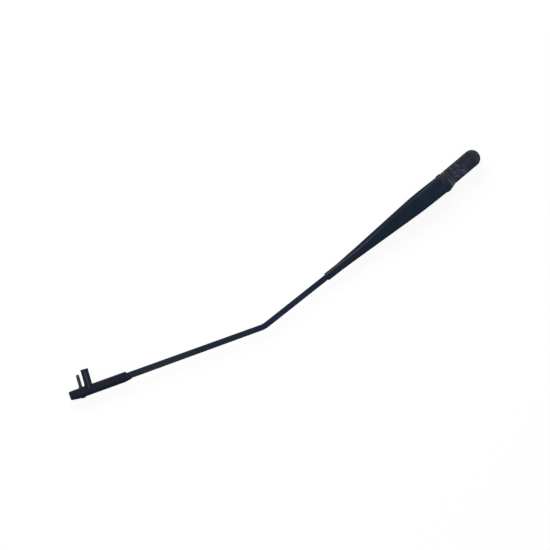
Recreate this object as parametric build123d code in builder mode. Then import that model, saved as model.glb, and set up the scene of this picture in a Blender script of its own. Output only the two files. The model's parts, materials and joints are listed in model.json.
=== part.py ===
"""Wiper arm with a riveted hinge head, a flip-up nut cap and a side pin for the blade.

Origin on the wiper spindle's axis, +Z away from the glass, +X from the head to the tip.
"""

import os
from math import cos, radians, sin, sqrt

from build123d import *

# Fits
run_gap = 0.05
seat_gap = 0.02
side_gap = 0.3
sweep_gap = 0.35

# Head: spindle boss
stud_r = 4.2
stud_hole_low = -2.0
nut_seat = 6.0
boss_bottom = -13.0
socket_top_r = 4.7
socket_mouth_r = 5.6
boss_clear = 0.8

# Arm centre-line beside the spindle axis
arm_y = 2.7
strip_y = 4.1

# Main hinge
hinge_x = 52.2
hinge_z = 10.5
hinge_pin_r = 2.75
hinge_head_r = 4.0
hinge_head_t = 0.95
bush_wall = 1.0
bush_flange_r = 4.6
bush_flange_t = 1.0
lug_r = 5.2
lug_slot = 5.0

# Link pin, behind and below the hinge
link_dx = -4.0
link_dz = -6.5
link_pin_r = 2.5
link_lug_r = 5.0
link_t = 3.0
link_eye_r = 4.0
link_span = 18.0
link_sag = 5.7
link_band = 4.0
link_hook_r = 2.0

# Head: neck and shoulder
neck_low = -8.0
neck_top = 7.2
neck_clear = 0.5
neck_wall = 2.6
neck_roof = 3.2
neck_rib = 2.2
pocket_start = 13.0
pocket_end = 38.0
shoulder_low = -4.0
shoulder_end = 46.0
shoulder_far = 16.1
shoulder_edge = 0.6
stop_length = 4.5

# Cap, turned a little on the spindle
cap_turn = 1.75
cap_half = 12.0
cap_wall = 1.6
cap_top = 18.0
cap_low = -3.0
cap_end_far = 38.6
cap_end_near = 42.4
cap_crown = 2.6
cap_end_gap = 0.5
trunnion_x = 37.0
trunnion_z = 13.0
trunnion_r = 1.5
trunnion_wall = 1.5
ear_t = 2.6

# Channel
sheet = 1.5
channel_half = 13.1
channel_top = 17.5
channel_low = -2.0
channel_corner = 3.0
slant_front = 1.8
slant_w = 5.0
slant_neck_w = 2.75
slant_neck_h = 1.2
slant_relief = 0.45
slant_start = 60.0
slant_turn = 204.0
ridge_r = 1.2
channel_start = 45.8
channel_corner_start = 47.2
taper_start = 99.0
taper_end = 233.0
taper_blend = 7.0
channel_end = 262.0
ear_toe = 66.0

# Strip
strip_w = 8.3
strip_tip_w = 9.6
strip_t = 3.6
strip_low = 2.2
strip_edge = 0.8
bend_x = 373.4
bend_angle = 18.5
bend_r = 30.0
anchor_x = 186.0
anchor_r = 2.2
anchor_edge = 5.6
crimp_gap = 0.1
lip_reach = 2.6

# Spring
wire_d = 2.2
spring_r = 5.7
spring_start = 14.0
spring_end = 24.0
link_loop_r = 5.0
anchor_loop_r = 4.0
hook_gap = 0.1
wire_sides = 4
loop_turn = 235.0

# End bracket, its tab and pin placed from its far end
plate = 2.0
bracket_start = 204.4
bracket_length = 84.7
bracket_skew = 5.4
bracket_lead = 10.0
bracket_lead_t = 0.5
bracket_gap = 0.2
strip_cover = 37.6
bracket_nose = 12.0
bracket_nose_in = 1.7
bracket_end_r = 2.4
bracket_fold_r = 1.8
bracket_deep = -7.0
bracket_lobe_r = 4.0
lip_inset = 3.6
lip_length = 30.0
tab_at = 29.6
tab_w = 10.8
tab_length = 23.0
tab_lean = 4.0
tab_lip = 4.0
tab_root_r = 3.0
tab_back_r = 1.0
tab_clear = 2.4
tab_root_run = 3.6
bead_w = 3.0
bead_length = 24.0
bead_margin = 3.5
bead_rise = 0.7
bead_slope = 0.55

# Blade pin
pin_at = 18.3
pin_z = -2.0
pin_r = 2.38
pin_length = 18.6
pin_lobe = 6.0
pin_shank_r = 3.2
pin_proud = 1.23
pin_chamfer = 0.5

# Levels and stations that follow from the sizes above
strip_top = strip_low + strip_t
strip_mid = strip_low + strip_t / 2
link_x = hinge_x + link_dx
link_z = hinge_z + link_dz
lug_half = channel_half - sheet - side_gap - bush_flange_t
bush_r = hinge_pin_r + run_gap + bush_wall
cap_inner = cap_half - cap_wall
boss_r = cap_inner - boss_clear
neck_half = cap_inner - neck_clear
crimp_half = strip_w / 2 + crimp_gap + sheet
crimp_top = strip_top + sheet
crimp_low = strip_low - sheet
channel_neck_corner = sheet + strip_edge
slant_inner = sheet * (2 - sqrt(2))
stop_half = channel_half - channel_corner - side_gap
hook_x = link_x + link_span
cap_skew = (cap_end_near - cap_end_far) / (2 * cap_half)
strip_run = bracket_start + strip_cover
bracket_end = bracket_start + bracket_length
lip_start = bracket_start + lip_inset
lip_end = lip_start + lip_length
tab_u = bracket_end - tab_at
pin_u = bracket_end - pin_at
bracket_half = strip_tip_w / 2 + bracket_gap + plate
bracket_top = strip_top + plate
bracket_low = strip_low - plate


def cap_end_x(y, gap=0.0):
    """Distance along the cap to its skewed end at a given width, moved on by a gap."""
    return (cap_end_far + cap_end_near) / 2 - cap_skew * y + gap


cap_plane = Plane.XY.rotated((0, 0, cap_turn))
cap_side = Plane(origin=(0, 0, 0), x_dir=cap_plane.x_dir, z_dir=-cap_plane.y_dir)
hinge_plane = Plane.XZ.offset(-arm_y)
tip = Plane(
    origin=(bend_x, strip_y, 0),
    x_dir=(cos(radians(bend_angle)), -sin(radians(bend_angle)), 0),
    z_dir=(0, 0, 1),
)
tip_side = Plane(origin=tip.origin, x_dir=tip.x_dir, z_dir=-tip.y_dir)
tab_dir = -tip.y_dir * cos(radians(tab_lean)) - tip.x_dir * sin(radians(tab_lean))
pin_root = tip.from_local_coords(Vector(pin_u, -bracket_half, pin_z))
pin_plane = Plane(origin=pin_root, x_dir=(0, 0, 1), z_dir=tab_dir)

# Die-cast head: spindle boss, hollow neck, shoulder and the two hinge cheeks
with BuildPart() as mounting_head:
    with BuildSketch(Plane.XZ):
        with BuildLine():
            Polyline(
                (0, neck_low),
                (pocket_end, shoulder_low),
                (shoulder_end, shoulder_low),
                (shoulder_end, neck_top),
                (0, neck_top),
                close=True,
            )
        make_face()
    extrude(amount=2 * channel_half, both=True)
    with BuildSketch(cap_plane.offset(boss_bottom)):
        with BuildLine():
            Polyline(
                (0, -boss_r),
                (trunnion_x, -neck_half),
                (cap_end_x(-neck_half, cap_end_gap), -neck_half),
                (cap_end_x(-cap_half, cap_end_gap), -cap_half),
                (hinge_x, -cap_half),
                (hinge_x, shoulder_far),
                (cap_end_x(cap_half, cap_end_gap), cap_half),
                (cap_end_x(neck_half, cap_end_gap), neck_half),
                (trunnion_x, neck_half),
                (0, boss_r),
                close=True,
            )
        make_face()
    extrude(amount=neck_top - boss_bottom, mode=Mode.INTERSECT)
    fillet(mounting_head.edges().filter_by(Axis.Z).group_by(Axis.X)[-1], shoulder_edge)
    with BuildSketch(hinge_plane):
        with Locations((hinge_x, hinge_z)):
            Circle(lug_r)
        with Locations((link_x, link_z)):
            Circle(link_lug_r)
        make_hull()
    extrude(amount=lug_half, both=True)
    with BuildSketch(hinge_plane):
        with Locations((hinge_x, hinge_z)):
            Rectangle(stop_length, channel_top - sheet - hinge_z, align=(Align.MIN, Align.MIN))
    extrude(amount=stop_half, both=True)
    with BuildSketch(cap_side):
        with Locations((trunnion_x, trunnion_z)):
            Circle(trunnion_r + trunnion_wall)
            Rectangle(
                2 * (trunnion_r + trunnion_wall),
                trunnion_z - neck_top,
                align=(Align.CENTER, Align.MAX),
            )
    extrude(amount=cap_inner - side_gap, both=True)
    with BuildSketch(cap_plane.offset(neck_top)):
        with Locations((trunnion_x, 0)):
            Rectangle(3 * (trunnion_r + trunnion_wall), 2 * (cap_inner - side_gap - ear_t))
    extrude(amount=cap_top - neck_top, mode=Mode.SUBTRACT)
    with BuildSketch(cap_plane.offset(boss_bottom)):
        with Locations(((pocket_start + pocket_end) / 2, 0)):
            Rectangle(pocket_end - pocket_start, 2 * (neck_half - neck_wall))
            Rectangle(pocket_end - pocket_start, neck_rib, mode=Mode.SUBTRACT)
    extrude(amount=neck_top - neck_roof - boss_bottom, mode=Mode.SUBTRACT)
    with BuildSketch(Plane.XZ):
        with BuildLine():
            Polyline(
                (0, boss_bottom),
                (boss_r, boss_bottom),
                (boss_r, nut_seat),
                (0, nut_seat),
                close=True,
            )
        make_face()
    revolve(axis=Axis.Z)
    with BuildSketch(Plane.XY.offset(nut_seat)):
        Circle(boss_r + boss_clear)
    extrude(amount=cap_top, mode=Mode.SUBTRACT)
    with BuildSketch(Plane.XZ):
        with BuildLine():
            Polyline(
                (0, boss_bottom),
                (socket_mouth_r, boss_bottom),
                (socket_top_r, stud_hole_low),
                (stud_r, stud_hole_low),
                (stud_r, nut_seat),
                (0, nut_seat),
                close=True,
            )
        make_face()
    revolve(axis=Axis.Z, mode=Mode.SUBTRACT)
    with BuildSketch(hinge_plane):
        with Locations((link_x, link_z)):
            Circle(link_eye_r + sweep_gap)
        with BuildLine():
            Polyline(
                (link_x, boss_bottom),
                (hinge_x + 2 * lug_r, boss_bottom),
                (hinge_x + 2 * lug_r, cap_top),
                (link_x, cap_top),
                close=True,
            )
        make_face()
    extrude(amount=lug_slot / 2, both=True, mode=Mode.SUBTRACT)
    with BuildSketch(hinge_plane):
        with Locations((hinge_x, hinge_z)):
            Circle(bush_r + seat_gap)
        with Locations((link_x, link_z)):
            Circle(link_pin_r + seat_gap)
    extrude(amount=channel_half, both=True, mode=Mode.SUBTRACT)
    with BuildSketch(cap_side):
        with Locations((trunnion_x, trunnion_z)):
            Circle(trunnion_r + run_gap)
    extrude(amount=cap_half, both=True, mode=Mode.SUBTRACT)
mounting_head.part.label = "mounting_head"

# Moulded nut cap, round at the spindle end, skewed and open at the hinge end
with BuildPart() as cover_cap:
    with BuildSketch(cap_plane.offset(cap_low)):
        with BuildLine():
            Line((cap_end_x(-cap_half), -cap_half), (0, -cap_half))
            RadiusArc((0, -cap_half), (0, cap_half), cap_half)
            Line((0, cap_half), (cap_end_x(cap_half), cap_half))
            Line((cap_end_x(cap_half), cap_half), (cap_end_x(-cap_half), -cap_half))
        make_face()
    extrude(amount=cap_top - cap_low)
    fillet(cover_cap.faces().sort_by(Axis.Z)[-1].edges().sort_by(Axis.X)[:-1], cap_crown)
    with BuildSketch(cap_plane.offset(cap_low)):
        with BuildLine():
            Line((cap_end_x(-cap_inner, cap_wall), -cap_inner), (0, -cap_inner))
            RadiusArc((0, -cap_inner), (0, cap_inner), cap_inner)
            Line((0, cap_inner), (cap_end_x(cap_inner, cap_wall), cap_inner))
            Line(
                (cap_end_x(cap_inner, cap_wall), cap_inner),
                (cap_end_x(-cap_inner, cap_wall), -cap_inner),
            )
        make_face()
    extrude(amount=cap_top - cap_wall - cap_low, mode=Mode.SUBTRACT)
    for side in (-1, 1):
        with BuildSketch(cap_side.offset(-side * cap_inner)):
            with Locations((trunnion_x, trunnion_z)):
                Circle(trunnion_r)
        extrude(amount=side * (side_gap + ear_t))
cover_cap.part.label = "cover_cap"

# Flanged hinge bushes, one in each cheek
bush_parts = []
for bush_name, side in (("hinge_bush_near", -1), ("hinge_bush_far", 1)):
    with BuildPart() as bush:
        with BuildSketch(hinge_plane.offset(-side * lug_slot / 2)):
            with Locations((hinge_x, hinge_z)):
                Circle(bush_r)
        extrude(amount=-side * (lug_half - lug_slot / 2))
        with BuildSketch(hinge_plane.offset(-side * lug_half)):
            with Locations((hinge_x, hinge_z)):
                Circle(bush_flange_r)
        extrude(amount=-side * bush_flange_t)
        with BuildSketch(hinge_plane):
            with Locations((hinge_x, hinge_z)):
                Circle(hinge_pin_r + run_gap)
        extrude(amount=channel_half, both=True, mode=Mode.SUBTRACT)
    bush.part.label = bush_name
    bush_parts.append(bush.part)

# Hinge rivet with a formed head on each side
with BuildPart() as hinge_pin:
    with BuildSketch(Plane(origin=(hinge_x, arm_y, hinge_z), x_dir=(1, 0, 0), z_dir=(0, 0, 1))):
        with BuildLine():
            Polyline(
                (0, -channel_half - hinge_head_t),
                (hinge_head_r - hinge_head_t, -channel_half - hinge_head_t),
                (hinge_head_r, -channel_half),
                (hinge_pin_r, -channel_half),
                (hinge_pin_r, channel_half),
                (hinge_head_r, channel_half),
                (hinge_head_r - hinge_head_t, channel_half + hinge_head_t),
                (0, channel_half + hinge_head_t),
                close=True,
            )
        make_face()
    revolve(axis=Axis((hinge_x, arm_y, hinge_z), (0, 1, 0)))
hinge_pin.part.label = "hinge_pin"

# Link pin, flush with the cheeks
with BuildPart() as link_pin:
    with BuildSketch(hinge_plane):
        with Locations((link_x, link_z)):
            Circle(link_pin_r)
    extrude(amount=lug_half, both=True)
link_pin.part.label = "link_pin"

# Stamped C-link that carries the spring round the hinge pin
sag_r = ((link_span / 2) ** 2 + link_sag**2) / (2 * link_sag)
with BuildPart() as spring_link:
    with BuildSketch(hinge_plane.offset(-link_t / 2)):
        with Locations((link_x + link_span / 2, link_z - link_sag + sag_r)):
            Circle(sag_r + link_band / 2)
            Circle(sag_r - link_band / 2, mode=Mode.SUBTRACT)
        with Locations((link_x + link_span / 2, link_z)):
            Rectangle(4 * link_span, 4 * link_span, align=(Align.CENTER, Align.MIN), mode=Mode.SUBTRACT)
        with Locations((link_x, link_z), (hook_x, link_z)):
            Circle(link_eye_r)
        with Locations((link_x, link_z)):
            Circle(link_pin_r + run_gap, mode=Mode.SUBTRACT)
        with Locations((hook_x, link_z)):
            Circle(link_hook_r, mode=Mode.SUBTRACT)
    extrude(amount=link_t)
spring_link.part.label = "spring_link"

# Tension spring between the link's eye and the strip's hole
wire_r = wire_d / 2
link_turn = link_loop_r - wire_r - sqrt((link_loop_r - wire_r) ** 2 - (link_t / 2) ** 2)
anchor_turn = anchor_loop_r - wire_r - sqrt((anchor_loop_r - wire_r) ** 2 - (strip_t / 2) ** 2)
wire_start = Vector(hook_x + link_hook_r - wire_r - link_turn - hook_gap, arm_y, link_z)
wire_stop = Vector(anchor_x - anchor_r + wire_r + anchor_turn + hook_gap, strip_y, strip_mid)
spring_plane = Plane(origin=wire_start, x_dir=wire_stop - wire_start, z_dir=(0, 0, 1))
spring_length = (wire_stop - wire_start).length
coil_from = spring_start
coil_to = spring_length - spring_end
spring_legs = ((2 * link_loop_r, coil_from), (coil_to, spring_length - 2 * anchor_loop_r))


def along_spring(u):
    """Plane across the spring's axis at a distance from the link's eye."""
    return Plane(origin=spring_plane.origin + spring_plane.x_dir * u, z_dir=spring_plane.x_dir)


with BuildPart() as tension_spring:
    with BuildSketch(along_spring(coil_from)):
        Circle(spring_r)
        Circle(spring_r - wire_d, mode=Mode.SUBTRACT)
    extrude(amount=coil_to - coil_from)
    for leg_from, leg_to in spring_legs:
        with BuildSketch(along_spring(leg_from)):
            RegularPolygon(wire_r, wire_sides, rotation=180 / wire_sides)
        extrude(amount=leg_to - leg_from)
    for turn_u in (coil_from, coil_to):
        turn_origin = spring_plane.origin + spring_plane.x_dir * turn_u
        with BuildSketch(Plane(origin=turn_origin, z_dir=spring_plane.y_dir)):
            RegularPolygon(wire_r, wire_sides, rotation=180 / wire_sides)
        extrude(amount=spring_r - wire_r)
    link_foot = wire_start + spring_plane.x_dir * 2 * link_loop_r
    with BuildSketch(Plane(origin=link_foot, x_dir=spring_plane.x_dir, z_dir=spring_plane.y_dir)):
        RegularPolygon(wire_r, wire_sides, rotation=180 / wire_sides)
    revolve(
        axis=Axis(wire_start + spring_plane.x_dir * link_loop_r, spring_plane.z_dir),
        revolution_arc=loop_turn,
    )
    anchor_foot = wire_stop - spring_plane.x_dir * 2 * anchor_loop_r
    with BuildSketch(Plane(origin=anchor_foot, x_dir=spring_plane.x_dir, z_dir=spring_plane.z_dir)):
        RegularPolygon(wire_r, wire_sides, rotation=180 / wire_sides)
    revolve(
        axis=Axis(wire_stop - spring_plane.x_dir * anchor_loop_r, spring_plane.y_dir),
        revolution_arc=loop_turn,
    )
tension_spring.part.label = "tension_spring"


def taper(x, wide, narrow):
    """Size of the channel at a station on its straight taper."""
    share = (x - taper_start) / (taper_end - taper_start)
    return wide + (narrow - wide) * min(max(share, 0.0), 1.0)


# Station, width and height of the slanted near side, its size on the inside, radius of its ridge
channel_stations = (
    (channel_start - sheet, slant_front, slant_front, slant_front - slant_inner, channel_corner),
    (slant_start, slant_front, slant_front, slant_front - slant_inner, channel_corner),
    (taper_start - taper_blend, slant_w, slant_w, slant_w - slant_inner, ridge_r),
    (taper_start + taper_blend, slant_w, slant_w, slant_w - slant_inner, ridge_r),
    (slant_turn, slant_w, slant_w, slant_w - slant_inner, ridge_r),
    (taper_end + taper_blend, slant_neck_w, slant_neck_h, slant_relief, ridge_r),
    (channel_end, slant_neck_w, slant_neck_h, slant_relief, ridge_r),
)

# Pressed channel: an inverted U, slanted on the near side, that tapers to the crimp round the strip
with BuildPart() as arm_channel:
    for x, across, down, relief, ridge in channel_stations:
        near = taper(x, arm_y - channel_half, strip_y - crimp_half)
        far = taper(x, arm_y + channel_half, strip_y + crimp_half)
        low = taper(x, channel_low, crimp_low)
        top = taper(x, channel_top, crimp_top)
        with BuildSketch(Plane.YZ.offset(x)) as outer:
            with BuildLine():
                Polyline(
                    (near, low),
                    (near, top - down),
                    (near + across, top),
                    (far, top),
                    (far, low),
                    close=True,
                )
            make_face()
            fillet(outer.vertices().sort_by(Axis.X)[:3].sort_by(Axis.Y)[1:], ridge)
            far_corner = outer.vertices().sort_by(Axis.Y)[-2:].sort_by(Axis.X)[-1]
            fillet(far_corner, taper(x, channel_corner, channel_neck_corner))
    loft(ruled=True)
    for x, across, down, relief, ridge in channel_stations:
        near = taper(x, arm_y - channel_half, strip_y - crimp_half) + sheet
        far = taper(x, arm_y + channel_half, strip_y + crimp_half) - sheet
        low = channel_low - sheet
        top = taper(x, channel_top, crimp_top) - sheet
        with BuildSketch(Plane.YZ.offset(x)) as inner:
            with BuildLine():
                Polyline(
                    (near, low),
                    (near, top - relief),
                    (near + relief, top),
                    (far, top),
                    (far, low),
                    close=True,
                )
            make_face()
            far_corner = inner.vertices().sort_by(Axis.Y)[-2:].sort_by(Axis.X)[-1]
            fillet(far_corner, taper(x, channel_corner, channel_neck_corner) - sheet)
    loft(ruled=True, mode=Mode.SUBTRACT)
    for side in (-1, 1):
        with BuildSketch(Plane.XY.offset(crimp_low)):
            with Locations((channel_end, strip_y + side * crimp_half)):
                Rectangle(
                    channel_end - taper_end - taper_blend,
                    sheet + lip_reach,
                    align=(Align.MAX, Align.MAX if side > 0 else Align.MIN),
                )
        extrude(amount=sheet)
    with BuildSketch(Plane.XY.offset(channel_low - sheet)):
        with BuildLine():
            Polyline(
                (channel_corner_start, arm_y + channel_half + sheet),
                (0, arm_y + channel_half + sheet),
                (0, arm_y - channel_half - sheet),
                (channel_corner_start, arm_y - channel_half - sheet),
            )
            ThreePointArc(
                (channel_corner_start, arm_y - channel_half - sheet),
                (channel_start, arm_y),
                (channel_corner_start, arm_y + channel_half + sheet),
            )
        make_face()
    extrude(amount=channel_top - channel_low + 2 * sheet, mode=Mode.SUBTRACT)
    ear_r = hinge_x - channel_corner_start
    with BuildSketch(hinge_plane):
        with BuildLine():
            ear = CenterArc((hinge_x, hinge_z), ear_r, 180, 110)
            Polyline(
                ear @ 1,
                (ear_toe, channel_low),
                (ear_toe, channel_low - sheet),
                (0, channel_low - sheet),
                (0, hinge_z),
                ear @ 0,
            )
        make_face()
    extrude(amount=2 * channel_half, both=True, mode=Mode.SUBTRACT)
    with BuildSketch(hinge_plane):
        with Locations((hinge_x, hinge_z)):
            Circle(hinge_pin_r + seat_gap)
    extrude(amount=2 * channel_half, both=True, mode=Mode.SUBTRACT)
arm_channel.part.label = "arm_channel"

# Flat strip, bent in its own plane
strip_start = anchor_x - anchor_edge
mitre = strip_w / 2 / cos(radians(bend_angle / 2))
bend_side = Vector(sin(radians(bend_angle / 2)), cos(radians(bend_angle / 2))) * mitre
tip_low = tip.from_local_coords(Vector(strip_run, -strip_tip_w / 2, 0))
tip_high = tip.from_local_coords(Vector(strip_run, strip_tip_w / 2, 0))
with BuildPart() as arm_strip:
    with BuildSketch(Plane.XY.offset(strip_low)) as strip_plan:
        with BuildLine():
            Polyline(
                (strip_start, strip_y - strip_w / 2),
                (bend_x - bend_side.X, strip_y - bend_side.Y),
                (tip_low.X, tip_low.Y),
                (tip_high.X, tip_high.Y),
                (bend_x + bend_side.X, strip_y + bend_side.Y),
                (strip_start, strip_y + strip_w / 2),
                close=True,
            )
        make_face()
        bends = strip_plan.vertices().filter_by(lambda v: abs(v.X - bend_x) < strip_w).sort_by(Axis.Y)
        fillet(bends[0], bend_r - strip_w / 2)
        bends = strip_plan.vertices().filter_by(lambda v: abs(v.X - bend_x) < strip_w).sort_by(Axis.Y)
        fillet(bends[-1], bend_r + strip_w / 2)
        with Locations((anchor_x, strip_y)):
            Circle(anchor_r, mode=Mode.SUBTRACT)
    extrude(amount=strip_t)
    rims = arm_strip.faces().filter_by(Axis.Z)
    chamfer([edge for rim in rims for edge in rim.outer_wire().edges()], strip_edge)
arm_strip.part.label = "arm_strip"

# Folded end bracket with the blade tab
tab_half = tab_w / 2 / cos(radians(tab_lean))
tab_plane = Plane(origin=tip.from_local_coords(Vector(tab_u, 0, 0)), x_dir=tab_dir, z_dir=(0, 0, 1))
tab_root = bracket_half / cos(radians(tab_lean))
inner_half = strip_tip_w / 2 + bracket_gap
with BuildPart() as end_bracket:
    with BuildSketch(tip.offset(bracket_deep)) as bracket_plan:
        with BuildLine():
            Polyline(
                (bracket_start, -bracket_half),
                (bracket_end, -bracket_half),
                (bracket_end, bracket_half - bracket_nose_in),
                (bracket_end - bracket_nose, bracket_half),
                (bracket_start - bracket_skew + bracket_lead, bracket_half),
                (bracket_start - bracket_skew, inner_half + bracket_lead_t),
                close=True,
            )
        make_face()
    extrude(amount=bracket_top - bracket_deep)
    with BuildSketch(tip_side) as bracket_side:
        with BuildLine():
            Polyline(
                (bracket_start - bracket_skew, bracket_low),
                (lip_end + plate, bracket_low),
                (pin_u - pin_lobe, bracket_deep),
                (pin_u + pin_lobe, bracket_deep),
                (bracket_end, bracket_low),
                (bracket_end, bracket_top),
                (bracket_start - bracket_skew, bracket_top),
                close=True,
            )
        make_face()
        fillet(bracket_side.vertices().group_by(Axis.Y)[0], bracket_lobe_r)
    extrude(amount=2 * bracket_half, both=True, mode=Mode.INTERSECT)
    top_edges = end_bracket.faces().sort_by(Axis.Z)[-1].edges()
    fillet(top_edges.sort_by(lambda edge: tip.to_local_coords(edge.center()).X)[1:-1], bracket_fold_r)
    with BuildSketch(tip.offset(bracket_deep)) as bracket_cut:
        add(bracket_plan.sketch_local)
        fillet(bracket_cut.vertices().sort_by(Axis.X)[-2:], bracket_end_r)
    extrude(amount=bracket_top - bracket_deep, mode=Mode.INTERSECT)
    with BuildSketch(tip.offset(bracket_deep)):
        with Locations(((bracket_start + bracket_end) / 2, 0)):
            Rectangle(2 * (bracket_end - bracket_start), 2 * inner_half)
    extrude(amount=strip_top - bracket_deep, mode=Mode.SUBTRACT)
    with BuildSketch(tip.offset(bracket_low)):
        for side in (-1, 1):
            with Locations((lip_start, side * bracket_half)):
                Rectangle(
                    lip_end - lip_start,
                    plate + bracket_gap + lip_reach,
                    align=(Align.MIN, Align.MAX if side > 0 else Align.MIN),
                )
    extrude(amount=plate)
    with BuildSketch(tip.offset(bracket_deep)):
        with Locations((tab_u, -bracket_half)):
            Rectangle(tab_w + 2 * tab_clear, 2 * plate)
    extrude(amount=strip_top - bracket_deep, mode=Mode.SUBTRACT)
    with BuildSketch(tip.offset(strip_top)) as tab_plan:
        with Locations((tab_u, -inner_half)):
            Rectangle(2 * (tab_half + tab_root_run), plate, align=(Align.CENTER, Align.MAX))
        with Locations(Location((tab_u, 0), -90 - tab_lean)):
            Rectangle(tab_root + tab_length, tab_w, align=(Align.MIN, Align.CENTER))
        fillet(tab_plan.vertices().sort_by_distance((tab_u + tab_half, -bracket_half))[0], tab_root_r)
        fillet(tab_plan.vertices().sort_by_distance((tab_u - tab_half, -bracket_half))[0], tab_back_r)
    extrude(amount=plate)
    with BuildSketch(tab_plane.offset(strip_top - tab_lip)):
        with Locations((tab_root + tab_length, 0)):
            Rectangle(plate, tab_w, align=(Align.MAX, Align.CENTER))
    extrude(amount=tab_lip + plate)
    with BuildSketch(tab_plane.offset(bracket_top)):
        with Locations((tab_root + tab_length - bead_margin, 0)):
            Rectangle(bead_length, bead_w, align=(Align.MAX, Align.CENTER))
    extrude(amount=bead_rise)
    chamfer(end_bracket.faces().sort_by(Axis.Z)[-1].edges(), bead_slope)
    with BuildSketch(pin_plane):
        Circle(pin_shank_r + seat_gap)
    extrude(amount=3 * bracket_half, both=True, mode=Mode.SUBTRACT)
end_bracket.part.label = "end_bracket"

# Blade pin: turned, its thicker shank pressed through both walls and proud of them
pin_tail = -2 * bracket_half / cos(radians(tab_lean)) - pin_proud
with BuildPart() as blade_pin:
    with BuildSketch(Plane(origin=pin_root, x_dir=(0, 0, 1), z_dir=Vector(0, 0, 1).cross(tab_dir))):
        with BuildLine():
            Polyline(
                (0, pin_tail),
                (pin_shank_r, pin_tail),
                (pin_shank_r, pin_proud),
                (pin_r, pin_proud),
                (pin_r, pin_length - pin_chamfer),
                (pin_r - pin_chamfer, pin_length),
                (0, pin_length),
                close=True,
            )
        make_face()
    revolve(axis=Axis(pin_root, tab_dir))
blade_pin.part.label = "blade_pin"

os.makedirs("parts", exist_ok=True)
for piece in (
    mounting_head.part,
    cover_cap.part,
    *bush_parts,
    hinge_pin.part,
    link_pin.part,
    spring_link.part,
    tension_spring.part,
    arm_channel.part,
    arm_strip.part,
    end_bracket.part,
    blade_pin.part,
):
    export_step(piece, f"parts/{piece.label}.step")
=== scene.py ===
"""Looks for a windscreen wiper arm: finishes, the wound spring, studio and camera."""

import json
import logging
import math
from dataclasses import dataclass, replace
from enum import Enum

import bmesh
import bpy
from mathutils import Matrix, Vector

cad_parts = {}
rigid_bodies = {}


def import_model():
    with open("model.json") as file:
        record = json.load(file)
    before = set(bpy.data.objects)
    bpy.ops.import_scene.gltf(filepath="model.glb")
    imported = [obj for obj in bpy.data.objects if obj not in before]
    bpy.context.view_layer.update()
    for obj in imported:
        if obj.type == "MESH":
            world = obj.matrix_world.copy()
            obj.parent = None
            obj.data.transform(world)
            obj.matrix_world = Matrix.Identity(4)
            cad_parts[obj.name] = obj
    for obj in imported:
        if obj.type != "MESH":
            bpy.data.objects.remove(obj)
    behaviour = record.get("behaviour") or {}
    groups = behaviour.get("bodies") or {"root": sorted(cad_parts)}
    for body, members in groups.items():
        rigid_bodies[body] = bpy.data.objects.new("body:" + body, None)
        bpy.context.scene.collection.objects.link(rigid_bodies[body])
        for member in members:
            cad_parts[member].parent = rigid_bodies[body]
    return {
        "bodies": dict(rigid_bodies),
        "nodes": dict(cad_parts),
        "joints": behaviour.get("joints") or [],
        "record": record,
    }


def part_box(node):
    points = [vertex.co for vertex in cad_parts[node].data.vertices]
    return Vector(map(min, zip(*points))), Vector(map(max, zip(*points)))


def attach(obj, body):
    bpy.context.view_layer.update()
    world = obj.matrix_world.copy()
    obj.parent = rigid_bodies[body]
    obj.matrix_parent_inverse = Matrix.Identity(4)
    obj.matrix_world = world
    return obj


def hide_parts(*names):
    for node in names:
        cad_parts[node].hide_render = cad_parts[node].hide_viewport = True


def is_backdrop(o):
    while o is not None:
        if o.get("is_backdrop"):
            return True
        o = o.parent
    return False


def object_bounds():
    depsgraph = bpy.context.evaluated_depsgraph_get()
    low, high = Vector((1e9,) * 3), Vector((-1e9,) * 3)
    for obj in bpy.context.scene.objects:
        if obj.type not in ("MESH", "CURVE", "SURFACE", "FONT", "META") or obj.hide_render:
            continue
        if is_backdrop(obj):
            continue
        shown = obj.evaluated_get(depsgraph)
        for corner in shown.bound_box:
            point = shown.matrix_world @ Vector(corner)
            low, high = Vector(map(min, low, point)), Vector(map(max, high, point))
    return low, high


LOG = logging.getLogger("wiper_arm")
MM = 0.001
EDGE_SAMPLES = 6

# Places of a colour Mix node's sockets, whose names repeat for each data type
MIX_UNDER = 6
MIX_OVER = 7
MIX_RESULT = 2

Colour = tuple[float, float, float]
Direction = tuple[float, float, float]
Socket = bpy.types.NodeSocket


class Grain(Enum):
    """Share of a noise's features along X, Y and Z, for the way that marks run on a piece."""

    EVERY_WAY = (1.0, 1.0, 1.0)
    ALONG_ARM = (0.03, 1.0, 1.0)
    ACROSS_CAP = (1.0, 0.45, 1.0)
    ROUND_PIN = (1.0, 1.0, 0.12)


@dataclass(frozen=True)
class Mottle:
    """Noise as a mask: features per metre, octaves, and the levels between which it steps."""

    scale: float
    detail: float
    low: float
    high: float
    top: float = 1.0
    grain: Grain = Grain.EVERY_WAY
    turn: float = 0.0
    shift: float = 0.0


@dataclass(frozen=True)
class Fade:
    """A smooth step along a line: where it starts, where it is whole and how much it is there."""

    start: float
    whole: float
    top: float = 1.0


@dataclass(frozen=True)
class EdgeWear:
    """Wear on sharp edges: how far it reaches, how sharp an edge takes it, and its pattern."""

    width: float
    sharpness: Fade
    pattern: Mottle


@dataclass(frozen=True)
class Scratches:
    """Hairlines: features of their noise per metre, half their width in its range, and their way."""

    scale: float
    width: float
    turn: float
    shift: float = 0.0


@dataclass(frozen=True)
class Grit:
    """Gloss and fine relief: the roughness and how it varies, the relief and the eased edges."""

    least: float
    spread: float
    spread_scale: float
    spread_detail: float
    relief_scale: float
    relief_depth: float
    relief_strength: float
    edge: float
    relief_detail: float = 2.0
    relief_grain: Grain = Grain.EVERY_WAY


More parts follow.
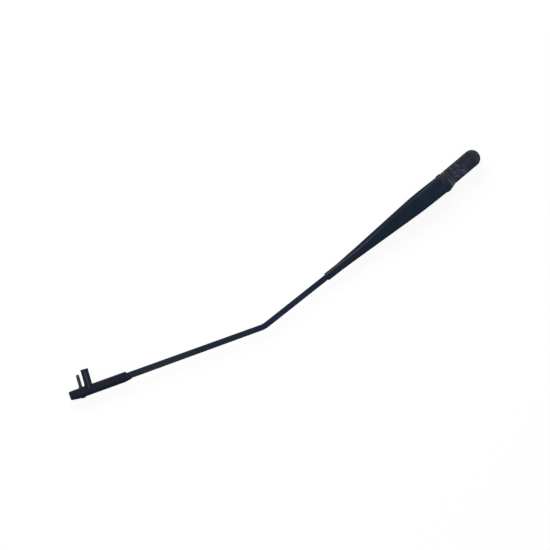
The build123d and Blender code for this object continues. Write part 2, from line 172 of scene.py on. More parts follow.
class NodeBench:
    """Builds one material's node tree from small named steps."""

    def __init__(self, name: str) -> None:
        """Start a material with its surface shader.

        Args:
            name: The material's name.
        """
        self.material = bpy.data.materials.new(name)
        self.material.use_nodes = True
        self.tree = self.material.node_tree
        self.shader = self.tree.nodes["Principled BSDF"]
        self.position = self.add("ShaderNodeTexCoord").outputs["Object"]

    def add(self, kind: str, **settings: object) -> bpy.types.Node:
        """Add a node.

        Args:
            kind: Blender's name of the node type.
            settings: Attributes to set on the node.

        Returns:
            The new node.
        """
        node = self.tree.nodes.new(kind)
        for key, value in settings.items():
            setattr(node, key, value)
        return node

    def join(self, source: Socket, target: Socket) -> None:
        """Link an output to an input."""
        self.tree.links.new(source, target)

    def noise(self, scale: float, detail: float, grain: Grain = Grain.EVERY_WAY, turn: float = 0.0,
              shift: float = 0.0) -> Socket:
        """Cloudy noise in the part's own metres.

        Args:
            scale: Features per metre.
            detail: Octaves of finer noise.
            grain: How the features stretch along the axes.
            turn: Turns the stretch about Z, in degrees.
            shift: Moves the pattern, in features.

        Returns:
            The noise's factor, about 0.5 on average.
        """
        node = self.add("ShaderNodeTexNoise")
        node.inputs["Scale"].default_value = scale
        node.inputs["Detail"].default_value = detail
        mapping = self.add("ShaderNodeMapping", vector_type="TEXTURE")
        mapping.inputs["Location"].default_value = (shift / scale, shift / scale, 0.0)
        mapping.inputs["Rotation"].default_value = (0.0, 0.0, math.radians(turn))
        mapping.inputs["Scale"].default_value = tuple(1.0 / share for share in grain.value)
        self.join(self.position, mapping.inputs["Vector"])
        self.join(mapping.outputs["Vector"], node.inputs["Vector"])
        return node.outputs["Fac"]

    def window(self, source: Socket, low: float, high: float, top: float = 1.0) -> Socket:
        """Smooth step of a value between two levels.

        Args:
            source: The value.
            low: Where the step starts.
            high: Where it is whole, above or below the start.
            top: The result there.

        Returns:
            The stepped value.
        """
        node = self.add("ShaderNodeMapRange", interpolation_type="SMOOTHSTEP")
        node.inputs["From Min"].default_value = low
        node.inputs["From Max"].default_value = high
        node.inputs["To Max"].default_value = top
        self.join(source, node.inputs["Value"])
        return node.outputs["Result"]

    def fade(self, source: Socket, step: Fade) -> Socket:
        """Step a value as a fade says."""
        return self.window(source, step.start, step.whole, step.top)

    def mottled(self, mottle: Mottle) -> Socket:
        """Make a mottle's mask."""
        noise = self.noise(mottle.scale, mottle.detail, mottle.grain, mottle.turn, mottle.shift)
        return self.window(noise, mottle.low, mottle.high, mottle.top)

    def maths(self, operation: str, first: Socket | float, second: Socket | float = 0.0) -> Socket:
        """One sum on two values.

        Args:
            operation: Blender's name of the sum.
            first: The first value, linked or fixed.
            second: The second value, linked or fixed.

        Returns:
            The result.
        """
        node = self.add("ShaderNodeMath", operation=operation)
        for value, target in zip((first, second), node.inputs):
            if isinstance(value, float):
                target.default_value = value
            else:
                self.join(value, target)
        return node.outputs["Value"]

    def both(self, *masks: Socket) -> Socket:
        """Where several masks hold at once.

        Args:
            masks: The masks.

        Returns:
            Their product.
        """
        result = masks[0]
        for mask in masks[1:]:
            result = self.maths("MULTIPLY", result, mask)
        return result

    def axis(self, letter: str) -> Socket:
        """One coordinate of the point, in metres."""
        node = self.add("ShaderNodeSeparateXYZ")
        self.join(self.position, node.inputs["Vector"])
        return node.outputs[letter]

    def along(self, way: Direction) -> Socket:
        """Distance of the point from the origin along a direction, in metres."""
        node = self.add("ShaderNodeVectorMath", operation="DOT_PRODUCT")
        node.inputs[1].default_value = way
        self.join(self.position, node.inputs[0])
        return node.outputs["Value"]

    def hairlines(self, marks: Scratches) -> Socket:
        """Thin wandering scratches, where cloudy noise crosses its middle.

        Args:
            marks: How the scratches run.

        Returns:
            The scratches as a mask.
        """
        middle = 0.5
        cloud = self.noise(marks.scale, 1.0, Grain.ACROSS_CAP, marks.turn, marks.shift)
        off = self.maths("ABSOLUTE", self.maths("SUBTRACT", cloud, middle))
        return self.window(off, marks.width, 0.0)

    def rounded(self, radius: float) -> Socket:
        """Normal of the piece with its sharp edges eased by a small radius, in metres."""
        node = self.add("ShaderNodeBevel", samples=EDGE_SAMPLES)
        node.inputs["Radius"].default_value = radius
        return node.outputs["Normal"]

    def edges(self, width: float) -> Socket:
        """Mask of the piece's sharp edges.

        Args:
            width: How far the mask reaches from an edge, in metres.

        Returns:
            A value near 1 on an edge and 0 on a flat.
        """
        dot = self.add("ShaderNodeVectorMath", operation="DOT_PRODUCT")
        self.join(self.rounded(width), dot.inputs[0])
        self.join(self.add("ShaderNodeNewGeometry").outputs["Normal"], dot.inputs[1])
        return self.maths("SUBTRACT", 1.0, dot.outputs["Value"])

    def worn_edges(self, wear: EdgeWear) -> Socket:
        """Mask of the worn stretches of the piece's edges."""
        return self.both(self.fade(self.edges(wear.width), wear.sharpness), self.mottled(wear.pattern))

    def blend(self, mask: Socket, under: Socket | Colour, over: Colour) -> Socket:
        """Lay one colour over another where a mask says.

        Args:
            mask: How much of the upper colour shows.
            under: The lower colour, linked or fixed.
            over: The upper colour.

        Returns:
            The mixed colour.
        """
        node = self.add("ShaderNodeMix", data_type="RGBA")
        self.join(mask, node.inputs["Factor"])
        if isinstance(under, tuple):
            node.inputs[MIX_UNDER].default_value = (*under, 1.0)
        else:
            self.join(under, node.inputs[MIX_UNDER])
        node.inputs[MIX_OVER].default_value = (*over, 1.0)
        return node.outputs[MIX_RESULT]

    def surface(self, grit: Grit) -> Socket:
        """Give the surface its small relief and eased edges.

        Args:
            grit: The gloss and the relief.

        Returns:
            The surface's roughness.
        """
        node = self.add("ShaderNodeBump")
        node.inputs["Strength"].default_value = grit.relief_strength
        node.inputs["Distance"].default_value = grit.relief_depth
        height = self.noise(grit.relief_scale, grit.relief_detail, grit.relief_grain)
        self.join(height, node.inputs["Height"])
        self.join(self.rounded(grit.edge), node.inputs["Normal"])
        self.join(node.outputs["Normal"], self.shader.inputs["Normal"])
        spread = self.window(self.noise(grit.spread_scale, grit.spread_detail), 0.0, 1.0, grit.spread)
        return self.maths("ADD", spread, grit.least)

    def finish(self, colour: Socket, roughness: Socket) -> bpy.types.Material:
        """Link the colour and the roughness.

        Args:
            colour: The surface's colour.
            roughness: Its roughness.

        Returns:
            The finished material.
        """
        self.join(colour, self.shader.inputs["Base Color"])
        self.join(roughness, self.shader.inputs["Roughness"])
        return self.material


@dataclass(frozen=True)
class SatinPaint:
    """Baked bluish-black paint on pressed steel, with rub marks and chipped edges."""

    name: str
    colour: Colour = (0.0050, 0.0124, 0.0282)
    cloud: Colour = (0.0078, 0.0162, 0.0325)
    rubbed: Colour = (0.050, 0.054, 0.066)
    bare: Colour = (0.15, 0.155, 0.16)
    specular: float = 0.15
    clouds: Mottle = Mottle(38.0, 5.0, 0.38, 0.68)
    streaks: Mottle = Mottle(900.0, 4.0, 0.60, 0.74, grain=Grain.ALONG_ARM)
    rub_places: Mottle = Mottle(21.0, 2.0, 0.50, 0.66, 0.22, shift=3.1)
    rub_roughness: float = 0.18
    specks: Mottle = Mottle(1900.0, 1.0, 0.72, 0.78, 0.3)
    chips: EdgeWear = EdgeWear(0.5 * MM, Fade(0.03, 0.22), Mottle(240.0, 5.0, 0.56, 0.74, 0.25))
    grit: Grit = Grit(
        least=0.34, spread=0.20, spread_scale=90.0, spread_detail=4.0,
        relief_scale=1300.0, relief_depth=0.05 * MM, relief_strength=0.3, edge=0.35 * MM,
    )

    def own_wear(self, bench: NodeBench, colour: Socket) -> Socket:
        """Add the wear of one piece's own places; plain pieces have none.

        Args:
            bench: The material's bench.
            colour: The paint's colour so far.

        Returns:
            The colour with that wear.
        """
        return colour

    def material(self) -> bpy.types.Material:
        """Make the paint.

        Returns:
            The material.
        """
        bench = NodeBench(self.name)
        colour = bench.blend(bench.mottled(self.clouds), self.colour, self.cloud)
        rub = bench.both(bench.mottled(self.streaks), bench.mottled(self.rub_places))
        colour = bench.blend(rub, colour, self.rubbed)
        colour = bench.blend(bench.mottled(self.specks), colour, self.rubbed)
        colour = self.own_wear(bench, colour)
        colour = bench.blend(bench.worn_edges(self.chips), colour, self.bare)
        dulled = bench.maths("MULTIPLY", rub, self.rub_roughness)
        roughness = bench.maths("ADD", bench.surface(self.grit), dulled)
        bench.shader.inputs["Specular IOR Level"].default_value = self.specular
        return bench.finish(colour, roughness)


@dataclass(frozen=True)
class ChannelPaint(SatinPaint):
    """The channel's paint: painted sheen by its ridge near the head, a painted highlight along the ridge
    further on, painted shade on the slanted near side, dull at the lip.
    """

    # painted sheen: paler bands by the ridge near the head stand in for light on the rounded ridge
    sheen: Colour = (0.0094, 0.0171, 0.0352)
    sheen_band: Fade = Fade(2.4 * MM, 0.4 * MM)
    # painted sheen, broader and paler, nearest the head
    head_sheen: Colour = (0.0166, 0.0235, 0.0445)
    head_band: Fade = Fade(4.8 * MM, 1.6 * MM)
    near_head: Fade = Fade(98.0 * MM, 66.0 * MM)
    # painted shade and reflection tint on the slanted near side
    flank_shade_tint: Colour = (0.0066, 0.0093, 0.0220)
    flank_shade_side: Fade = Fade(0.3 * MM, -1.2 * MM, 0.9)
    # painted highlight along the ridge of the slanted near side, broken up by noise
    ridge: Colour = (0.050, 0.063, 0.094)
    ridge_highlight_width: Fade = Fade(0.75 * MM, 0.15 * MM)
    ridge_highlight_reach: Fade = Fade(145.0 * MM, 195.0 * MM)
    ridge_highlight_breaks: Mottle = Mottle(160.0, 3.0, 0.15, 0.45, shift=5.0)
    ridge_slope: float = 0.0653
    ridge_foot: float = -11.865 * MM
    ridge_crimp: float = 1.25 * MM
    dull: Colour = (0.034, 0.039, 0.058)
    lip: Fade = Fade(55.5 * MM, 47.5 * MM)
    lip_side: Fade = Fade(9.0 * MM, -3.0 * MM)
    blotches: Mottle = Mottle(150.0, 4.0, 0.22, 0.52, shift=7.0)

    def from_ridge(self, bench: NodeBench) -> Socket:
        """Distance across the arm from the ridge of the slanted near side.

        Args:
            bench: The material's bench.

        Returns:
            The distance in metres, below 0 on the near side.
        """
        slope = bench.maths("MULTIPLY", bench.axis("X"), self.ridge_slope)
        line = bench.maths("MINIMUM", bench.maths("ADD", slope, self.ridge_foot), self.ridge_crimp)
        return bench.maths("SUBTRACT", bench.axis("Y"), line)

    def own_wear(self, bench: NodeBench, colour: Socket) -> Socket:
        """Add the painted sheen by the ridge, the painted shade on the slanted side, the painted
        highlight along the ridge and the dull front lip.

        Args:
            bench: The material's bench.
            colour: The paint's colour so far.

        Returns:
            The colour with that wear.
        """
        off = self.from_ridge(bench)
        near_head = bench.fade(bench.axis("X"), self.near_head)
        # painted sheen by the ridge near the head
        narrow = bench.both(bench.fade(off, self.sheen_band), near_head)
        colour = bench.blend(narrow, colour, self.sheen)
        broad = bench.both(bench.fade(off, self.head_band), near_head)
        colour = bench.blend(broad, colour, self.head_sheen)
        # painted shade and reflection tint on the slanted near side
        colour = bench.blend(bench.fade(off, self.flank_shade_side), colour, self.flank_shade_tint)
        # painted highlight along the ridge of the slanted near side
        line = bench.both(
            bench.fade(bench.maths("ABSOLUTE", off), self.ridge_highlight_width),
            bench.fade(bench.axis("X"), self.ridge_highlight_reach),
            bench.mottled(self.ridge_highlight_breaks),
        )
        colour = bench.blend(line, colour, self.ridge)
        front = bench.both(
            bench.fade(bench.axis("X"), self.lip),
            bench.fade(bench.axis("Y"), self.lip_side),
            bench.mottled(self.blotches),
        )
        return bench.blend(front, colour, self.dull)


@dataclass(frozen=True)
class StripPaint(SatinPaint):
    """The strip's paint, faded to a warmer tone towards the end bracket."""

    strip_way: Direction = (0.9483237, -0.3173047, 0.0)
    stretch: Fade = Fade(440.0 * MM, 480.0 * MM)
    faded: Colour = (0.0168, 0.0226, 0.0420)
    faded_clouds: Mottle = Mottle(55.0, 4.0, 0.15, 0.50, shift=6.0)

    def own_wear(self, bench: NodeBench, colour: Socket) -> Socket:
        """Add the faded stretch.

        Args:
            bench: The material's bench.
            colour: The paint's colour so far.

        Returns:
            The colour with that wear.
        """
        stretch = bench.fade(bench.along(self.strip_way), self.stretch)
        return bench.blend(bench.both(stretch, bench.mottled(self.faded_clouds)), colour, self.faded)


@dataclass(frozen=True)
class BracketPaint(SatinPaint):
    """The end bracket's paint, with a painted highlight on the raised rib of the tab and painted shade on
    the far bent edge.
    """

    # painted highlight on the raised rib of the tab, broken up by noise
    bead_highlight: Colour = (0.042, 0.050, 0.072)
    bead_height: Fade = Fade(7.9 * MM, 8.45 * MM)
    bead_highlight_breaks: Mottle = Mottle(170.0, 4.0, 0.22, 0.50, shift=2.0)
    # painted shade on the far bent edge
    fold_shade: Colour = (0.0045, 0.0075, 0.0185)
    fold_way: Direction = (0.3173047, 0.9483237, 0.0)
    fold_shade_side: Fade = Fade(123.2 * MM, 126.6 * MM, 0.85)

    def own_wear(self, bench: NodeBench, colour: Socket) -> Socket:
        """Add the painted shade on the far bent edge and the painted highlight on the raised rib.

        Args:
            bench: The material's bench.
            colour: The paint's colour so far.

        Returns:
            The colour with that wear.
        """
        # painted shade on the far bent edge
        fold_shade = bench.fade(bench.along(self.fold_way), self.fold_shade_side)
        colour = bench.blend(fold_shade, colour, self.fold_shade)
        # painted highlight on the raised rib of the tab
        bead_highlight = bench.fade(bench.axis("Z"), self.bead_height)
        return bench.blend(bench.both(bead_highlight, bench.mottled(self.bead_highlight_breaks)), colour, self.bead_highlight)


@dataclass(frozen=True)
class ScuffedPlastic:
    """Moulded charcoal plastic of the nut cap, dulled by scuffs towards the hinge."""

    name: str = "scuffed_plastic"
    colour: Colour = (0.0085, 0.0125, 0.0275)
    faded: Colour = (0.0165, 0.0205, 0.0385)
    scuff: Colour = (0.071, 0.075, 0.100)
    dust: Colour = (0.060, 0.058, 0.070)
    end_tone: Colour = (0.034, 0.039, 0.051)
    fading: Mottle = Mottle(140.0, 4.0, 0.38, 0.66)
    side_share: float = 0.3
    top_height: Fade = Fade(8.0 * MM, 16.0 * MM, 0.7)
    scuff_start: Fade = Fade(11.0 * MM, 18.0 * MM)
    scuff_end: Fade = Fade(39.0 * MM, 32.0 * MM)
    smears: Mottle = Mottle(330.0, 5.0, 0.46, 0.64, grain=Grain.ACROSS_CAP, turn=25.0, shift=1.7)
    strokes: Mottle = Mottle(1400.0, 3.0, 0.30, 0.60, grain=Grain.ACROSS_CAP, turn=25.0, shift=5.3)
    round_end: Fade = Fade(1.0 * MM, -9.0 * MM)
    dusting: Mottle = Mottle(260.0, 5.0, 0.42, 0.62, 0.7, shift=4.0)
    scratches: Scratches = Scratches(130.0, 0.030, 40.0, shift=3.0)
    scratch_breaks: Mottle = Mottle(130.0, 3.0, 0.50, 0.60, 0.65, shift=9.0)
    end_way: Direction = (0.995, 0.188, 0.0)
    hinge_end: Fade = Fade(36.8 * MM, 39.6 * MM, 0.85)
    rims: EdgeWear = EdgeWear(0.7 * MM, Fade(0.04, 0.30), Mottle(300.0, 4.0, 0.42, 0.66, 0.3))
    grit: Grit = Grit(
        least=0.46, spread=0.20, spread_scale=150.0, spread_detail=3.0,
        relief_scale=2600.0, relief_depth=0.04 * MM, relief_strength=0.45, edge=0.3 * MM,
    )
    specular: float = 0.25

    def material(self) -> bpy.types.Material:
        """Make the plastic.

        Returns:
            The material.
        """
        bench = NodeBench(self.name)
        colour = bench.blend(bench.mottled(self.fading), self.colour, self.faded)
        high = bench.maths("ADD", bench.fade(bench.axis("Z"), self.top_height), self.side_share)
        place = bench.both(
            high,
            bench.fade(bench.axis("X"), self.scuff_start),
            bench.fade(bench.axis("X"), self.scuff_end),
        )
        scuffs = bench.both(bench.mottled(self.smears), bench.mottled(self.strokes), place)
        colour = bench.blend(scuffs, colour, self.scuff)
        round_end = bench.fade(bench.axis("X"), self.round_end)
        colour = bench.blend(bench.both(bench.mottled(self.dusting), round_end, high), colour, self.dust)
        scratches = bench.both(
            bench.hairlines(self.scratches),
            bench.mottled(self.scratch_breaks),
            place,
        )
        colour = bench.blend(scratches, colour, self.scuff)
        hinge_end = bench.fade(bench.along(self.end_way), self.hinge_end)
        colour = bench.blend(hinge_end, colour, self.end_tone)
        colour = bench.blend(bench.worn_edges(self.rims), colour, self.scuff)
        bench.shader.inputs["Specular IOR Level"].default_value = self.specular
        return bench.finish(colour, bench.surface(self.grit))


@dataclass(frozen=True)
class WornCasting:
    """Black-painted die casting, worn to grey metal on the shoulder's shelf and in patches near it."""

    name: str = "worn_casting"
    colour: Colour = (0.016, 0.018, 0.022)
    worn: Colour = (0.104, 0.119, 0.156)
    metal: Colour = (0.090, 0.097, 0.115)
    stain: Colour = (0.112, 0.098, 0.088)
    place: Fade = Fade(35.0 * MM, 40.0 * MM)
    shelf_height: Fade = Fade(5.4 * MM, 6.9 * MM)
    shelf_end: Fade = Fade(49.0 * MM, 47.5 * MM)
    shelf_wear: Mottle = Mottle(120.0, 4.0, -0.25, 0.55)
    patches: Mottle = Mottle(130.0, 5.0, 0.40, 0.58, shift=4.0)
    stains: Mottle = Mottle(480.0, 4.0, 0.50, 0.72, 0.6, shift=8.0)
    rims: EdgeWear = EdgeWear(0.6 * MM, Fade(0.03, 0.25), Mottle(210.0, 4.0, 0.42, 0.66, 0.7))
    grit: Grit = Grit(
        least=0.44, spread=0.25, spread_scale=260.0, spread_detail=3.0,
        relief_scale=900.0, relief_depth=0.08 * MM, relief_strength=0.5, edge=0.4 * MM, relief_detail=4.0,
    )
    specular: float = 0.3

    def material(self) -> bpy.types.Material:
        """Make the casting.

        Returns:
            The material.
        """
        bench = NodeBench(self.name)
        place = bench.fade(bench.axis("X"), self.place)
        shelf = bench.both(
            bench.fade(bench.axis("Z"), self.shelf_height),
            bench.fade(bench.axis("X"), self.shelf_end),
            bench.mottled(self.shelf_wear),
        )
        wear = bench.both(place, bench.maths("MAXIMUM", shelf, bench.mottled(self.patches)))
        colour = bench.blend(wear, self.colour, self.worn)
        colour = bench.blend(bench.both(place, bench.mottled(self.stains)), colour, self.stain)
        colour = bench.blend(bench.worn_edges(self.rims), colour, self.metal)
        bench.shader.inputs["Specular IOR Level"].default_value = self.specular
        return bench.finish(colour, bench.surface(self.grit))


SMOOTH_STEEL = Grit(
    least=0.30, spread=0.20, spread_scale=420.0, spread_detail=3.0, relief_scale=2200.0,
    relief_depth=0.03 * MM, relief_strength=0.35, edge=0.2 * MM, relief_grain=Grain.ROUND_PIN,
)
DULL_STEEL = replace(SMOOTH_STEEL, least=0.40)


@dataclass(frozen=True)
class BareSteel:
    """Bare or plated steel with stains and fine tool marks."""

    name: str
    colour: Colour
    stain: Colour
    metallic: float
    grit: Grit
    stains: Mottle = Mottle(260.0, 5.0, 0.42, 0.70)

    def own_wear(self, bench: NodeBench, colour: Socket) -> Socket:
        """Add the wear of one piece's own places; plain pieces have none.

        Args:
            bench: The material's bench.
            colour: The steel's colour so far.

        Returns:
            The colour with that wear.
        """
        return colour

    def material(self) -> bpy.types.Material:
        """Make the steel.

        Returns:
            The material.
        """
        bench = NodeBench(self.name)
        colour = bench.blend(bench.mottled(self.stains), self.colour, self.stain)
        colour = self.own_wear(bench, colour)
        bench.shader.inputs["Metallic"].default_value = self.metallic
        return bench.finish(colour, bench.surface(self.grit))


@dataclass(frozen=True)
class PinSteel(BareSteel):
    """Dark steel of the blade pin, with a painted highlight at its tip."""

    pin_way: Direction = (-0.3826834, -0.9238795, 0.0)
    tip: Fade = Fade(-143.5 * MM, -140.5 * MM)
    # painted highlight at the pin's tip
    tip_highlight: Colour = (0.16, 0.16, 0.16)

    def own_wear(self, bench: NodeBench, colour: Socket) -> Socket:
        """Add the painted highlight at the tip.

        Args:
            bench: The material's bench.
            colour: The steel's colour so far.

        Returns:
            The colour with that wear.
        """
        # painted highlight at the tip
        return bench.blend(bench.fade(bench.along(self.pin_way), self.tip), colour, self.tip_highlight)


@dataclass(frozen=True)
class BushPlastic:
    """Natural bearing plastic of the hinge bushes."""

    name: str = "bush_plastic"
    colour: Colour = (0.50, 0.47, 0.39)
    grime: Colour = (0.14, 0.12, 0.09)
    grimy: Mottle = Mottle(330.0, 5.0, 0.42, 0.66)
    grit: Grit = Grit(
        least=0.45, spread=0.20, spread_scale=300.0, spread_detail=3.0,
        relief_scale=1500.0, relief_depth=0.03 * MM, relief_strength=0.3, edge=0.2 * MM,
    )

    def material(self) -> bpy.types.Material:
        """Make the plastic.

        Returns:
            The material.
        """
        bench = NodeBench(self.name)
        colour = bench.blend(bench.mottled(self.grimy), self.colour, self.grime)
        return bench.finish(colour, bench.surface(self.grit))


def dress(frame: dict, material: bpy.types.Material, *nodes: str) -> None:
    """Give CAD nodes that keep their shape a finish.

    Args:
        frame: The loaded frame.
        material: The finish.
        nodes: The nodes' names.
    """
    for name in nodes:
        data = frame["nodes"][name].data
        data.materials.clear()
        data.materials.append(material)
        LOG.info("%s dressed in %s", name, material.name)


def make_object(name: str, mesh: bmesh.types.BMesh) -> bpy.types.Object:
    """Turn a bmesh into a smooth-shaded object at the origin.

    Args:
        name: The piece's name.
        mesh: Its mesh, which is freed.

    Returns:
        The object, in the scene.
    """
    data = bpy.data.meshes.new(name)
    mesh.to_mesh(data)
    mesh.free()
    for polygon in data.polygons:
        polygon.use_smooth = True
    piece = bpy.data.objects.new(name, data)
    bpy.context.scene.collection.objects.link(piece)
    return piece


@dataclass
class HingeHead:
    """The casting on the spindle, its bushes and the link's pin."""

    frame: dict

    def build(self) -> None:
        """Dress the head's nodes."""
        dress(self.frame, WornCasting().material(), "mounting_head")
        dress(self.frame, BushPlastic().material(), "hinge_bush_near", "hinge_bush_far")
        pin = BareSteel(
            "link_pin_steel", colour=(0.26, 0.26, 0.26), stain=(0.13, 0.12, 0.11),
            metallic=0.9, grit=SMOOTH_STEEL,
        )
        dress(self.frame, pin.material(), "link_pin")


@dataclass
class NutCap:
    """The flip-up cap over the spindle's nut."""

    frame: dict

    def build(self) -> None:
        """Dress the cap."""
        dress(self.frame, ScuffedPlastic().material(), "cover_cap")


@dataclass
class PressedArm:
    """The channel, strip and end bracket with their rivet and the blade's pin."""

    frame: dict
    strip_colour: Colour = (0.0086, 0.0176, 0.0382)
    strip_cloud: Colour = (0.0135, 0.0230, 0.0446)
    bracket_colour: Colour = (0.0118, 0.0160, 0.0310)
    bracket_cloud: Colour = (0.0165, 0.0205, 0.0365)
    bracket_specular: float = 0.08

    def build(self) -> None:
        """Dress the arm's nodes."""
        dress(self.frame, ChannelPaint("channel_paint").material(), "arm_channel", "hinge_pin")
        strip = StripPaint("strip_paint", self.strip_colour, self.strip_cloud)
        dress(self.frame, strip.material(), "arm_strip")
        bracket = BracketPaint(
            "bracket_paint", self.bracket_colour, self.bracket_cloud, specular=self.bracket_specular
        )
        dress(self.frame, bracket.material(), "end_bracket")
        pin = PinSteel(
            "blade_pin_steel", colour=(0.033, 0.034, 0.042), stain=(0.044, 0.045, 0.052),
            metallic=0.3, grit=DULL_STEEL,
        )
        dress(self.frame, pin.material(), "blade_pin")


@dataclass
class SpringGear:
    """The link and the wound tension spring, with a loop at each end."""

    frame: dict
    arm_y: float = 2.7 * MM
    strip_y: float = 4.1 * MM
    wire_r: float = 1.1 * MM
    hook_half: float = 0.778 * MM
    coil_r: float = 4.6 * MM
    body_from: float = 14.0 * MM
    body_to_end: float = 24.0 * MM
    link_loop_r: float = 5.0 * MM
    anchor_loop_r: float = 4.0 * MM
    pitch: float = 2.3 * MM
    hook_inside: float = 8.0 * MM
    steps_a_turn: int = 20
    loop_steps: int = 28
    wire_sides: int = 10
    end_rings: int = 6
    seam: float = 0.002 * MM

    def ends(self) -> tuple[Vector, Vector]:
        """Find where the wire sits in the link's eye and in the strip's hole.

        Returns:
            The wire's centre at the link and at the strip.
        """
        low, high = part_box("tension_spring")
        level = (low.z + high.z) / 2
        start = Vector((low.x + self.hook_half, self.arm_y, level))
        return start, Vector((high.x - self.hook_half, self.strip_y, level))

    def bend(self, mesh: bmesh.types.BMesh, section: Matrix, centre: Vector, axis: Vector, angle: float,
             steps: int, rise: Vector | None = None) -> None:
        """Bend wire round an axis.

        Args:
            mesh: The mesh to add to.
            section: Places the wire's first section, whose normal is its Z.
            centre: A point on the axis.
            axis: The axis.
            angle: How far it bends, in radians.
            steps: Sections along the bend.
            rise: Travel for each step of a helix; none for a closed loop.
        """
        ring = bmesh.ops.create_circle(
            mesh, cap_ends=False, segments=self.wire_sides, radius=self.wire_r, matrix=section
        )["verts"]
        edges = list({edge for vert in ring for edge in vert.link_edges})
        bmesh.ops.spin(
            mesh, geom=ring + edges, cent=centre, axis=axis, angle=angle, steps=steps,
            dvec=rise or Vector(), use_merge=rise is None, use_normal_flip=False, use_duplicate=False,
        )

    def rod(self, mesh: bmesh.types.BMesh, foot: Vector, top: Vector) -> None:
        """Lay straight wire with rounded ends between two points.

        Args:
            mesh: The mesh to add to.
            foot: One end.
            top: The other end.
        """
        way = top - foot
        turned = way.to_track_quat("Z", "Y").to_matrix().to_4x4()
        bmesh.ops.create_cone(
            mesh, cap_ends=True, segments=self.wire_sides, radius1=self.wire_r, radius2=self.wire_r,
            depth=way.length, matrix=Matrix.Translation((foot + top) / 2) @ turned,
        )
        for end in (foot, top):
            bmesh.ops.create_uvsphere(
                mesh, u_segments=self.wire_sides, v_segments=self.end_rings, radius=self.wire_r,
                matrix=Matrix.Translation(end),
            )

    def wind(self) -> tuple[bpy.types.Object, bpy.types.Object]:
        """Wind the spring, with the hook at the strip apart, so that it can draw out of the coils.

        Returns:
            The coils with the link's loop, and the strip's hook.
        """
        start, stop = self.ends()
        way = (stop - start).normalized()
        side = Vector((0, 0, 1)).cross(way)
        up = way.cross(side)
        coil_from = start + way * self.body_from
        coil_to = stop - way * self.body_to_end
        turns = round((coil_to - coil_from).length / self.pitch)
        steps = turns * self.steps_a_turn
        link_centre = start + way * self.link_loop_r
        anchor_centre = stop - way * self.anchor_loop_r
        mesh = bmesh.new()
        coil = Matrix.Translation(coil_from + side * self.coil_r) @ self.turned(side, way, up)
        self.bend(mesh, coil, coil_from, way, turns * math.tau, steps, (coil_to - coil_from) / steps)
        flat = Matrix.Translation(start) @ self.turned(way, up, side)
        self.bend(mesh, flat, link_centre, up, math.tau, self.loop_steps)
        self.rod(mesh, link_centre + way * self.link_loop_r, coil_from)
        self.rod(mesh, coil_from, coil_from + side * self.coil_r)
        self.rod(mesh, coil_to, coil_to + side * self.coil_r)
        coils = self.closed("wound_spring", mesh)
        mesh = bmesh.new()
        upright = Matrix.Translation(stop) @ self.turned(way, side, up)
        self.bend(mesh, upright, anchor_centre, side, math.tau, self.loop_steps)
        self.rod(mesh, coil_to - way * self.hook_inside, anchor_centre - way * self.anchor_loop_r)
        return coils, self.closed("spring_hook", mesh)

    def closed(self, name: str, mesh: bmesh.types.BMesh) -> bpy.types.Object:
        """Merge the wire's seams and make it a piece.

        Args:
            name: The piece's name.
            mesh: Its mesh.

        Returns:
            The piece.
        """
        bmesh.ops.remove_doubles(mesh, verts=mesh.verts, dist=self.seam)
        bmesh.ops.recalc_face_normals(mesh, faces=mesh.faces)
        return make_object(name, mesh)

    def turned(self, first: Vector, second: Vector, third: Vector) -> Matrix:
        """Matrix that turns X, Y and Z to three directions."""
        return Matrix((first, second, third)).transposed().to_4x4()

    def build(self) -> None:
        """Dress the link, wind the spring and put its coils in the plain node's place."""
        link = BareSteel(
            "dull_zinc", colour=(0.42, 0.41, 0.38), stain=(0.20, 0.18, 0.15),
            metallic=0.85, grit=DULL_STEEL,
        )
        dress(self.frame, link.material(), "spring_link")
        coils, hook = self.wind()
        wire = BareSteel(
            "spring_wire", colour=(0.20, 0.20, 0.21), stain=(0.09, 0.085, 0.08),
            metallic=0.9, grit=SMOOTH_STEEL,
        )
        steel = wire.material()
        for piece, body in ((coils, "link"), (hook, "arm")):
            piece.data.materials.append(steel)
            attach(piece, body)
            LOG.info("%s wound", piece.name)
        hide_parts("tension_spring")


@dataclass(frozen=True)
class Lamp:
    """A square lamp: where it hangs from the target, its side in metres and its power in watts."""

    name: str
    place: Direction
    size: float
    power: float


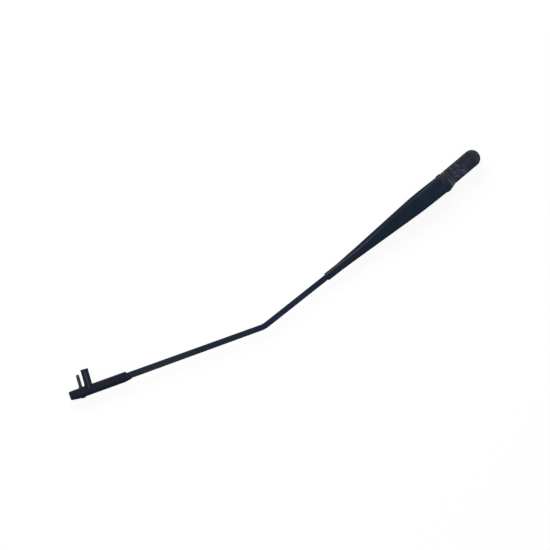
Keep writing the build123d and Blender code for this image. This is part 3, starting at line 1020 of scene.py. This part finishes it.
@dataclass
class Studio:
    """Pale floor, soft lamps and the camera over the arm."""

    lowest: float
    floor_gap: float = 0.2 * MM
    target: Vector = Vector((0.31666, -0.04308, 0.005))
    turn_deg: float = 141.6
    view_width: float = 0.770
    lens: float = 260.0
    sensor: float = 36.0
    sight: float = 50.0
    key: Lamp = Lamp("key", (-0.35, -1.25, 1.25), 1.2, 26.0)
    fill: Lamp = Lamp("fill", (0.9, 0.9, 1.4), 1.4, 7.0)
    floor_size: float = 6.0
    paper: float = 0.12
    bounce: float = 0.75
    glow: float = 0.91
    sky: float = 0.25

    def camera(self) -> None:
        """Hang the camera straight above the arm."""
        data = bpy.data.cameras.new("camera")
        data.lens = self.lens
        data.sensor_width = self.sensor
        data.clip_end = self.sight
        camera = bpy.data.objects.new("camera", data)
        bpy.context.scene.collection.objects.link(camera)
        height = self.view_width * self.lens / self.sensor
        camera.location = self.target + Vector((0, 0, height))
        camera.rotation_euler = (0, 0, math.radians(self.turn_deg))
        bpy.context.scene.camera = camera

    def hang(self, lamp: Lamp) -> None:
        """Hang a lamp so that it faces the arm.

        Args:
            lamp: The lamp.
        """
        data = bpy.data.lights.new(lamp.name, "AREA")
        data.size = lamp.size
        data.energy = lamp.power
        light = bpy.data.objects.new(lamp.name, data)
        bpy.context.scene.collection.objects.link(light)
        place = Vector(lamp.place)
        light.location = self.target + place
        light.rotation_euler = (-place).to_track_quat("-Z", "Y").to_euler()

    def grey(self, level: float) -> tuple[float, float, float, float]:
        """Opaque grey of a level."""
        return level, level, level, 1.0

    def floor(self) -> None:
        """Lay the white floor, which shows white and keeps a soft shadow."""
        mesh = bmesh.new()
        bmesh.ops.create_grid(
            mesh, x_segments=1, y_segments=1, size=self.floor_size / 2,
            matrix=Matrix.Translation((self.target.x, self.target.y, self.lowest - self.floor_gap)),
        )
        floor = make_object("floor", mesh)
        material = bpy.data.materials.new("white_floor")
        material.use_nodes = True
        tree = material.node_tree
        tree.nodes.clear()
        paper = tree.nodes.new("ShaderNodeBsdfDiffuse")
        paper.inputs["Color"].default_value = self.grey(self.paper)
        bounce = tree.nodes.new("ShaderNodeBsdfDiffuse")
        bounce.inputs["Color"].default_value = self.grey(self.bounce)
        glow = tree.nodes.new("ShaderNodeEmission")
        glow.inputs["Strength"].default_value = self.glow
        path = tree.nodes.new("ShaderNodeLightPath")
        seen = path.outputs["Is Camera Ray"]
        for ray in ("Is Glossy Ray", "Is Transmission Ray"):
            either = tree.nodes.new("ShaderNodeMath")
            either.operation = "MAXIMUM"
            tree.links.new(seen, either.inputs[0])
            tree.links.new(path.outputs[ray], either.inputs[1])
            seen = either.outputs[0]
        both = tree.nodes.new("ShaderNodeAddShader")
        tree.links.new(paper.outputs[0], both.inputs[0])
        tree.links.new(glow.outputs[0], both.inputs[1])
        mix = tree.nodes.new("ShaderNodeMixShader")
        tree.links.new(seen, mix.inputs[0])
        tree.links.new(bounce.outputs[0], mix.inputs[1])
        tree.links.new(both.outputs[0], mix.inputs[2])
        out = tree.nodes.new("ShaderNodeOutputMaterial")
        tree.links.new(mix.outputs[0], out.inputs["Surface"])
        floor.data.materials.append(material)
        floor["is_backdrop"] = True

    def world(self) -> None:
        """Light the whole scene from a pale sky."""
        world = bpy.data.worlds.new("studio")
        world.use_nodes = True
        sky = world.node_tree.nodes["Background"]
        sky.inputs["Color"].default_value = self.grey(1.0)
        sky.inputs["Strength"].default_value = self.sky
        bpy.context.scene.world = world

    def build(self) -> None:
        """Set up the floor, lamps and camera."""
        self.floor()
        self.world()
        self.hang(self.key)
        self.hang(self.fill)
        self.camera()
        bpy.context.scene.view_settings.view_transform = "Standard"
        LOG.info("studio built")


def main() -> None:
    """Build the looks piece by piece."""
    logging.basicConfig(level=logging.INFO, format="%(message)s")
    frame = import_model()
    cad_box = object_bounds()
    HingeHead(frame).build()
    NutCap(frame).build()
    PressedArm(frame).build()
    SpringGear(frame).build()
    Studio(cad_box[0][2]).build()


if __name__ == "__main__":
    main()
